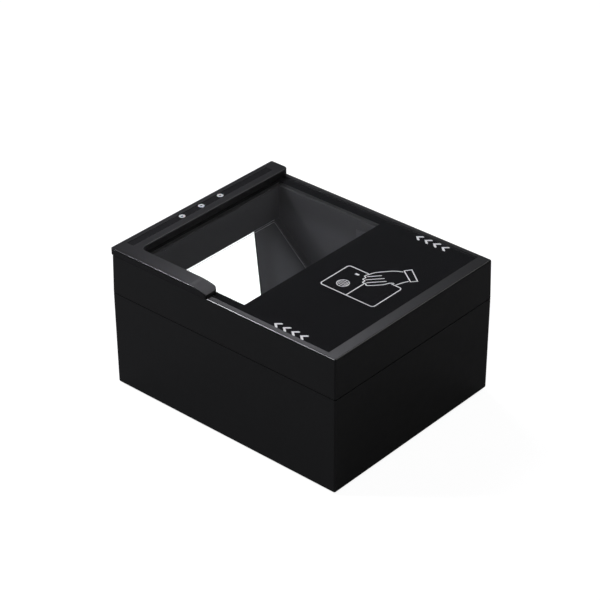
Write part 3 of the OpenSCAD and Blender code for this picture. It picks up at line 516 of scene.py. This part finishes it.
def add_shells():
    """Both shells, with fine breaks on their seam lips and openings, and wider ones beside the glass."""
    refined("lower_housing", 0.18 * MM, segments=2)
    bm = welded_copy("upper_housing")
    glass_low, glass_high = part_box("cover_glass")
    bevel_sharp(bm, 0.75 * MM, 2, keep=lambda edge: beside_glass(edge, glass_low.x))
    bevel_sharp(bm, 0.4 * MM, 2, keep=lambda edge: beside_glass(edge, glass_high.x))
    bevel_sharp(bm, 0.18 * MM, 2, angle=50)
    piece = finish_mesh("upper_housing_piece", bm, MATERIALS[SLOT_OF["upper_housing"]])
    stand_for(piece, "upper_housing")


def beside_glass(edge, x):
    """True for the upper edge of the glass recess that runs from front to back at this x."""
    glass_low, glass_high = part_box("cover_glass")
    reach = 0.5 * MM
    return all(
        abs(v.co.x - x) < reach
        and v.co.z > glass_high.z and glass_low.y - reach < v.co.y < glass_high.y + reach
        for v in edge.verts
    )


def round_ramp(bm):
    """Cuts the ramp at the end of the stop's arm into fine steps that lie on its true arc, apart from
    the rounded corner at the tip, where the CAD mesh is fine enough."""
    low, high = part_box("document_stop")
    steps = 14
    radius = (RAMP_LENGTH * RAMP_LENGTH + RAMP_DROP * RAMP_DROP) / (2 * RAMP_DROP)
    back = low.y + RAMP_LENGTH
    for i in range(1, steps):
        cut = RAMP_LENGTH * i / steps
        if cut > RAMP_TIP:
            bmesh.ops.bisect_plane(
                bm, geom=bm.verts[:] + bm.edges[:] + bm.faces[:], dist=0.001 * MM,
                plane_co=(0, low.y + cut, 0), plane_no=(0, 1, 0),
            )
    for vert in bm.verts:
        above_rim = vert.co.z > low.z + 1.0 * MM
        if vert.co.y < back and above_rim:
            run = back - vert.co.y
            vert.co.z = high.z - radius + math.sqrt(radius * radius - run * run)


def add_stop():
    """The page stop with its rounded rim, and the glossy strip in its pocket."""
    bm = welded_copy("document_stop")
    round_ramp(bm)
    bevel_sharp(bm, 0.6 * MM, 4, keep=on_stop_rim, clamp=False)
    low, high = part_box("document_stop")
    for vert in bm.verts:
        vert.co.x = min(max(vert.co.x, low.x), high.x)
    stand_for(finish_mesh("document_stop_piece", bm, MATERIALS["stop_black"]), "document_stop")

    low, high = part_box("indicator_strip")
    r = 0.5 * MM
    outline = []
    for x, y, start in ((high.x - r, high.y - r, 0), (low.x + r, high.y - r, 90),
                        (low.x + r, low.y + r, 180), (high.x - r, low.y + r, 270)):
        outline += arc((x, y), r, start, start + 90, 4)
    bm = bmesh.new()
    prism(bm, outline, low.z, high.z)
    bevel_sharp(bm, 0.1 * MM, 2, angle=60)
    stand_for(finish_mesh("indicator_strip_piece", bm, MATERIALS["strip_gloss"]), "indicator_strip")


def on_stop_rim(edge):
    """True for the stop's upper outer edges, but not for those of its pocket and its holes."""
    low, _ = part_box("document_stop")
    strip_low, strip_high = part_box("indicator_strip")
    reach = 0.5 * MM
    middle = (edge.verts[0].co + edge.verts[1].co) / 2
    in_pocket = all(strip_low[i] - reach < middle[i] < strip_high[i] + reach for i in (0, 1))
    return min(v.co.z for v in edge.verts) > low.z + 2.2 * MM and not in_pocket


def add_lenses():
    """Each indicator: a milky dome with a greyer dimple in its middle, and its light pipe below."""
    for name in ("left", "middle", "right"):
        node = f"indicator_lens_{name}"
        low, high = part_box(node)
        centre = (low + high) / 2
        radius = (high.x - low.x) / 2
        shoulder = high.z - 2.1 * MM
        pipe = radius - 0.6 * MM
        inner = radius * 0.24
        lip = high.z - 0.02 * MM
        bm = bmesh.new()
        lathe(bm, [
            (0, low.z, 0), (pipe - 0.2 * MM, low.z, 0), (pipe, low.z + 0.2 * MM, 0), (pipe, shoulder, 0),
            (radius, shoulder, 0), (radius, lip - 0.45 * MM, 0), (radius - 0.12 * MM, lip - 0.2 * MM, 0),
            (radius - 0.35 * MM, lip - 0.05 * MM, 0), (radius - 0.7 * MM, lip, 0),
            (inner + 0.15 * MM, lip - 0.08 * MM, 0), (inner, lip - 0.22 * MM, 1),
            (inner * 0.7, lip - 0.12 * MM, 1), (inner * 0.35, lip - 0.05 * MM, 1), (0, lip - 0.03 * MM, 1),
        ], centre)
        piece = finish_mesh(node + "_piece", bm, MATERIALS["lens_milk"], sharp_angle=40)
        piece.data.materials.append(SMOKED)
        stand_for(piece, node)


def add_glass():
    """Cover glass with ground, blackened edges. Lamps shine through it, as they do through real glass."""
    glass = refined("cover_glass", 0.12 * MM, segments=1)
    glass.data.shade_flat()
    glass.data.materials.append(GROUND_EDGE)
    for face in glass.data.polygons:
        if abs(face.normal.z) < 0.9:
            face.material_index = 1
    glass.visible_shadow = False


def add_mirror():
    """Fold mirror: a silvered plate with a ground bevel and a fine line where the coating ends."""
    bm = welded_copy("fold_mirror")
    up = Vector((0, -math.sin(MIRROR_SLOPE), math.cos(MIRROR_SLOPE)))
    face = max(bm.faces, key=lambda f: f.calc_area() * f.normal.dot(up))
    border = bmesh.ops.inset_region(bm, faces=[face], thickness=1.3 * MM, use_even_offset=True)["faces"]
    line = bmesh.ops.inset_region(bm, faces=[face], thickness=0.3 * MM, use_even_offset=True)["faces"]
    for strip in line:
        strip.material_index = 1
    rim = {edge for strip in border for edge in strip.edges if edge.calc_face_angle(0.0) > 1.0}
    made = bmesh.ops.bevel(
        bm, geom=list(rim), offset=0.4 * MM, offset_type="OFFSET", segments=1, profile=0.5,
        affect="EDGES", clamp_overlap=True,
    )["faces"]
    for strip in made:
        strip.material_index = 1
    piece = finish_mesh("fold_mirror_piece", bm, MATERIALS["mirror_silver"])
    piece.data.materials.append(MIRROR_EDGE)
    piece.data.shade_flat()
    stand_for(piece, "fold_mirror")


def add_mask():
    """Black back-print around the clear window. Its face is bonded into the underside of the glass."""
    low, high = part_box("glass_mask")
    (left, front), (right, back) = WINDOW
    bm = bmesh.new()
    top, bottom = high.z + 0.01 * MM, low.z
    outer = [(low.x, low.y), (high.x, low.y), (high.x, high.y), (low.x, high.y)]
    inner = [(left, front), (right, front), (right, back), (left, back)]
    rings = [[bm.verts.new((x, y, z)) for x, y in ring] for z in (bottom, top) for ring in (outer, inner)]
    low_out, low_in, top_out, top_in = rings
    for k in range(4):
        n = (k + 1) % 4
        bm.faces.new((top_out[k], top_out[n], top_in[n], top_in[k]))
        bm.faces.new((low_out[n], low_out[k], low_in[k], low_in[n]))
        bm.faces.new((low_out[k], low_out[n], top_out[n], top_out[k]))
        bm.faces.new((low_in[n], low_in[k], top_in[k], top_in[n]))
    piece = finish_mesh("glass_mask_piece", bm, MATERIALS["mask_black"])
    stand_for(piece, "glass_mask")


def add_marks():
    """White print between the glass and the mask: guide chevrons at both sides, and a picture of a
    hand that lays an open booklet on the window. Each stroke lies a hair above the one before it."""
    _, mask_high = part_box("glass_mask")
    level = mask_high.z + 0.012 * MM
    lift = 0.0008 * MM
    ink = 0.004 * MM
    bm = bmesh.new()
    count = 0

    def draw(outline):
        nonlocal count
        low = level + count * lift
        prism(bm, [(x * MM, y * MM) for x, y in outline], low, low + ink)
        count += 1

    def stroke(points, width):
        draw(stroke_outline(points, width))

    for x in (-71.8, 71.8):
        for i in range(4):
            tip = -39.9 - 7.25 * i
            draw([
                (x, tip), (x - 3.1, tip - 3.4), (x - 3.1, tip - 4.8), (x - 2.2, tip - 4.8), (x, tip - 2.2),
                (x + 2.2, tip - 4.8), (x + 3.1, tip - 4.8), (x + 3.1, tip - 3.4),
            ])

    # The booklet, from the middle of its right page round to the hand
    pen = 0.75
    left, right, back, front = -16.35, 13.4, -30.1, -75.0
    r = 2.2
    stroke(
        [(right, -46.8)] + arc((right - r, back - r), r, 0, 90)
        + arc((left + r, back - r), r, 90, 180) + arc((left + r, front + r), r, 180, 270)
        + arc((right - r, front + r), r, 270, 360) + [(right, -66.5)], pen)
    stroke([(left, -52.4), (2.0, -52.4)], pen)

    # A plain globe and a chip mark on its cover
    x, y = -6.35, -41.5
    stroke(arc((x, y), 4.2, 0, 357, 40), 0.5)
    stroke([(x - 4.0, y), (x + 4.0, y)], 0.36)
    stroke([(x, y - 4.0), (x, y + 4.0)], 0.36)
    for side in (-1, 1):
        angles = [math.radians(a) for a in range(-84, 85, 12)]
        stroke([(x + side * 2.1 * math.cos(a), y + 4.0 * math.sin(a)) for a in angles], 0.36)
        angles = [math.radians(a) for a in range(-80, 81, 16)]
        stroke([(x + 3.6 * math.sin(a), y + side * (2.4 - 0.5 * math.cos(a))) for a in angles], 0.34)
    draw([(7.2, -43.0), (8.9, -43.0), (8.9, -40.0), (7.2, -40.0)])

    # The hand: its back, three fingers, the thumb side, the wrist and the cuff
    stroke(smooth_line([(12.6, -47.4), (17.6, -49.2), (23.0, -53.6), (27.2, -57.4), (30.0, -62.2)]), pen)
    stroke([(10.4, -48.6), (17.2, -54.6)], pen)
    stroke([(6.6, -50.2), (15.6, -58.2)], pen)
    stroke([(4.2, -53.0), (13.6, -61.4)], pen)
    stroke(smooth_line([
        (12.6, -47.2), (9.6, -46.6), (8.6, -48.4), (5.8, -48.2), (5.2, -50.4), (2.6, -50.6),
        (2.8, -53.2), (1.4, -54.6), (3.0, -57.0), (9.0, -62.4), (13.2, -64.4), (15.0, -66.8)]), pen)
    stroke(smooth_line([(14.4, -69.2), (18.6, -70.4), (23.0, -72.4)]), pen)
    stroke([(31.6, -62.0), (36.0, -65.0), (27.2, -76.8), (23.6, -73.8), (31.2, -62.6)], pen)

    piece = finish_mesh("printed_marks", bm, MATERIALS["print_white"])
    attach(piece, "case")


def add_feet():
    """Round rubber feet with a dished, grooved sole."""
    for place in ("front_left", "front_right", "back_left", "back_right"):
        node = f"foot_{place}"
        low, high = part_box(node)
        centre = (low + high) / 2
        r = (high.x - low.x) / 2
        sole = low.z
        profile = [(0, sole + 0.35 * MM, 0)]
        for ring in (0.28, 0.50, 0.72):
            profile += [
                (r * (ring - 0.06), sole + 0.35 * MM, 0), (r * (ring - 0.03), sole + 0.08 * MM, 0),
                (r * (ring + 0.03), sole + 0.08 * MM, 0), (r * (ring + 0.06), sole + 0.35 * MM, 0),
            ]
        profile += [
            (r * 0.80, sole + 0.3 * MM, 0), (r * 0.84, sole, 0), (r * 0.93, sole, 0),
            (r * 0.98, sole + 0.15 * MM, 0), (r, sole + 0.5 * MM, 0), (r, high.z - 0.1 * MM, 0),
            (r - 0.1 * MM, high.z, 0), (0, high.z, 0),
        ]
        bm = bmesh.new()
        lathe(bm, profile, centre, steps=72)
        stand_for(finish_mesh(node + "_piece", bm, MATERIALS["foot_rubber"], sharp_angle=35), node)


def add_inside():
    """Pieces under the glass and on the back, with their edges broken by so many millimetres."""
    for node, width in {
        "scan_chamber": 0.3, "left_light_cover": 0.25, "right_light_cover": 0.25,
        "connector_panel": 0.15, "usb_port": 0.2, "usb_tongue": 0.15, "dc_inlet": 0.2, "switch_housing": 0.25,
        "glass_gasket": 0.08, "camera_bracket": 0.2, "lens_holder": 0.2, "lens_barrel": 0.25,
        "main_board": 0.1, "antenna_board": 0.1, "camera_board": 0.1, "processor": 0.12, "memory_chips": 0.12,
        "heat_sink": 0.15, "capacitors": 0.4, "buzzer": 0.4, "board_headers": 0.15, "reader_module": 0.3,
        "rating_label": 0.04, "housing_screws": 0.2, "stop_screws": 0.15, "panel_screws": 0.2,
    }.items():
        refined(node, width * MM, segments=2)
    refined("power_rocker", 0.3 * MM, segments=3, body="rocker")


def paint_cad_nodes():
    """Gives every CAD node the material of its slot."""
    for name, node in frame["nodes"].items():
        node.data.materials.clear()
        node.data.materials.append(MATERIALS[SLOT_OF[name]])


# ---------------------------------------------------------------- camera, lights and floor

def add_camera():
    """Camera in front of the object's left corner, a little above it, with a long lens."""
    azimuth, elevation, roll = (math.radians(a) for a in (48.639, 32.06, -0.236))
    level = math.cos(elevation)
    sight = Vector((math.sin(azimuth) * level, math.cos(azimuth) * level, -math.sin(elevation)))
    right = Vector((math.cos(azimuth), -math.sin(azimuth), 0))
    up = right.cross(sight)
    turned_right = right * math.cos(roll) + up * math.sin(roll)
    turned_up = up * math.cos(roll) - right * math.sin(roll)
    data = bpy.data.cameras.new("camera")
    data.lens = 130.9
    data.sensor_width = 36
    data.clip_end = 100
    camera = bpy.data.objects.new("camera", data)
    bpy.context.scene.collection.objects.link(camera)
    place = Matrix((turned_right, turned_up, -sight)).transposed().to_4x4()
    place.translation = Vector((-0.933586, -0.820455, 0.84874))
    camera.matrix_world = place
    bpy.context.scene.camera = camera


def add_softbox(name, place, aim, size, radiance, colour):
    """Square light panel. Its power follows from the brightness that its face should have."""
    data = bpy.data.lights.new(name, "AREA")
    data.shape = "RECTANGLE"
    data.size = data.size_y = size
    data.energy = radiance * math.pi * size * size
    data.color = colour
    lamp = bpy.data.objects.new(name, data)
    bpy.context.scene.collection.objects.link(lamp)
    lamp.location = place
    lamp.rotation_euler = (aim - place).to_track_quat("-Z", "Y").to_euler()
    lamp.visible_camera = False


def add_lights():
    """A wide soft light in front, a crisp one behind for the left edges, a small one for the flat tops."""
    top = Vector((0, 0, 0.10))
    front_right = top + Vector((0.498, -0.362, 0.788)) * 1.3
    back_left = top + Vector((-0.531, 0.56, 0.636)) * 1.3
    overhead = Vector((0.19, 0.215, 0.50))
    front_left = Vector((-0.3, -0.3, 0.10))
    add_softbox("softbox_front_right", front_right, top, 0.80, 1.8, (1.0, 1.0, 1.0))
    add_softbox("softbox_back_left", back_left, top, 0.2, 75.0, (0.97, 0.97, 1.03))
    add_softbox("softbox_overhead", overhead, front_left, 0.12, 16.5, (0.97, 0.965, 1.04))
    world = bpy.data.worlds.new("studio")
    world.use_nodes = True
    world.node_tree.nodes["Background"].inputs["Color"].default_value = (0.065, 0.065, 0.069, 1.0)
    bpy.context.scene.world = world


def add_stage():
    """White floor and backdrop that only the camera sees, and a dim floor that only the object sees."""
    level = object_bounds()[0].z
    bm = bmesh.new()
    bmesh.ops.create_circle(bm, cap_ends=True, segments=96, radius=14)
    bmesh.ops.translate(bm, verts=bm.verts, vec=(0, 0, level))
    floor = finish_mesh("floor", bm, white_stage("stage_floor", 0.93, 0.25))
    bm = bmesh.new()
    bmesh.ops.create_uvsphere(bm, u_segments=64, v_segments=32, radius=13)
    backdrop = finish_mesh("backdrop", bm, white_stage("stage_backdrop", 1.0, 0.0), sharp_angle=90)
    for piece in (floor, backdrop):
        piece.visible_diffuse = False
        piece.visible_glossy = False
        piece.visible_transmission = False
        piece.visible_shadow = False
    bm = bmesh.new()
    bmesh.ops.create_circle(bm, cap_ends=True, segments=96, radius=4)
    bmesh.ops.translate(bm, verts=bm.verts, vec=(0, 0, level - 1 * MM))
    bounce = finish_mesh("bounce_floor", bm, dim_stage())
    bounce.visible_camera = False


def white_stage(name, glow, albedo):
    """Paper that glows evenly, so it stays pale behind the object."""
    shader = Shader(name)
    paper = shader.noise(0.4)
    shader.feed("Base Color", shader.mix(paper, tone((albedo,) * 3), tone((albedo,) * 3, 1.02)))
    shader.set(Roughness=1.0, Specular_IOR_Level=0.0, Emission_Color=(1, 1, 1, 1), Emission_Strength=glow)
    return shader.material


def dim_stage():
    """Grey paper that lights the object from below, a little less from the back left."""
    shader = Shader("stage_bounce")
    paper = shader.noise(0.4)
    axes = shader.node("ShaderNodeSeparateXYZ", {"Vector": shader.coords})
    to_back_left = shader.math("SUBTRACT", axes.outputs["Y"], axes.outputs["X"])
    lit = shader.span(to_back_left, -0.1, 0.35, 0.24, 0.16)
    grain = shader.span(paper, 0.3, 0.7, 0.95, 1.05)
    grey = shader.math("MULTIPLY", lit, grain)
    shader.feed("Base Color", shader.mix(grey, (0, 0, 0, 1), (1, 1, 1, 1)))
    shader.set(Roughness=1.0, Specular_IOR_Level=0.0)
    return shader.material


# ---------------------------------------------------------------- the scene

MATERIALS = make_materials()
MIRROR_EDGE = glossy("mirror_edge", (0.55, 0.56, 0.58), roughness=0.3)
SMOKED = glossy("smoked_centre", (0.26, 0.26, 0.27), roughness=0.2)
GROUND_EDGE = glossy("ground_edge", (0.012, 0.013, 0.013), roughness=0.45)

add_camera()
paint_cad_nodes()
add_shells()
add_stop()
add_lenses()
add_glass()
add_mirror()
add_mask()
add_marks()
add_feet()
add_inside()
add_lights()
add_stage()

bpy.context.scene.view_settings.view_transform = "Standard"
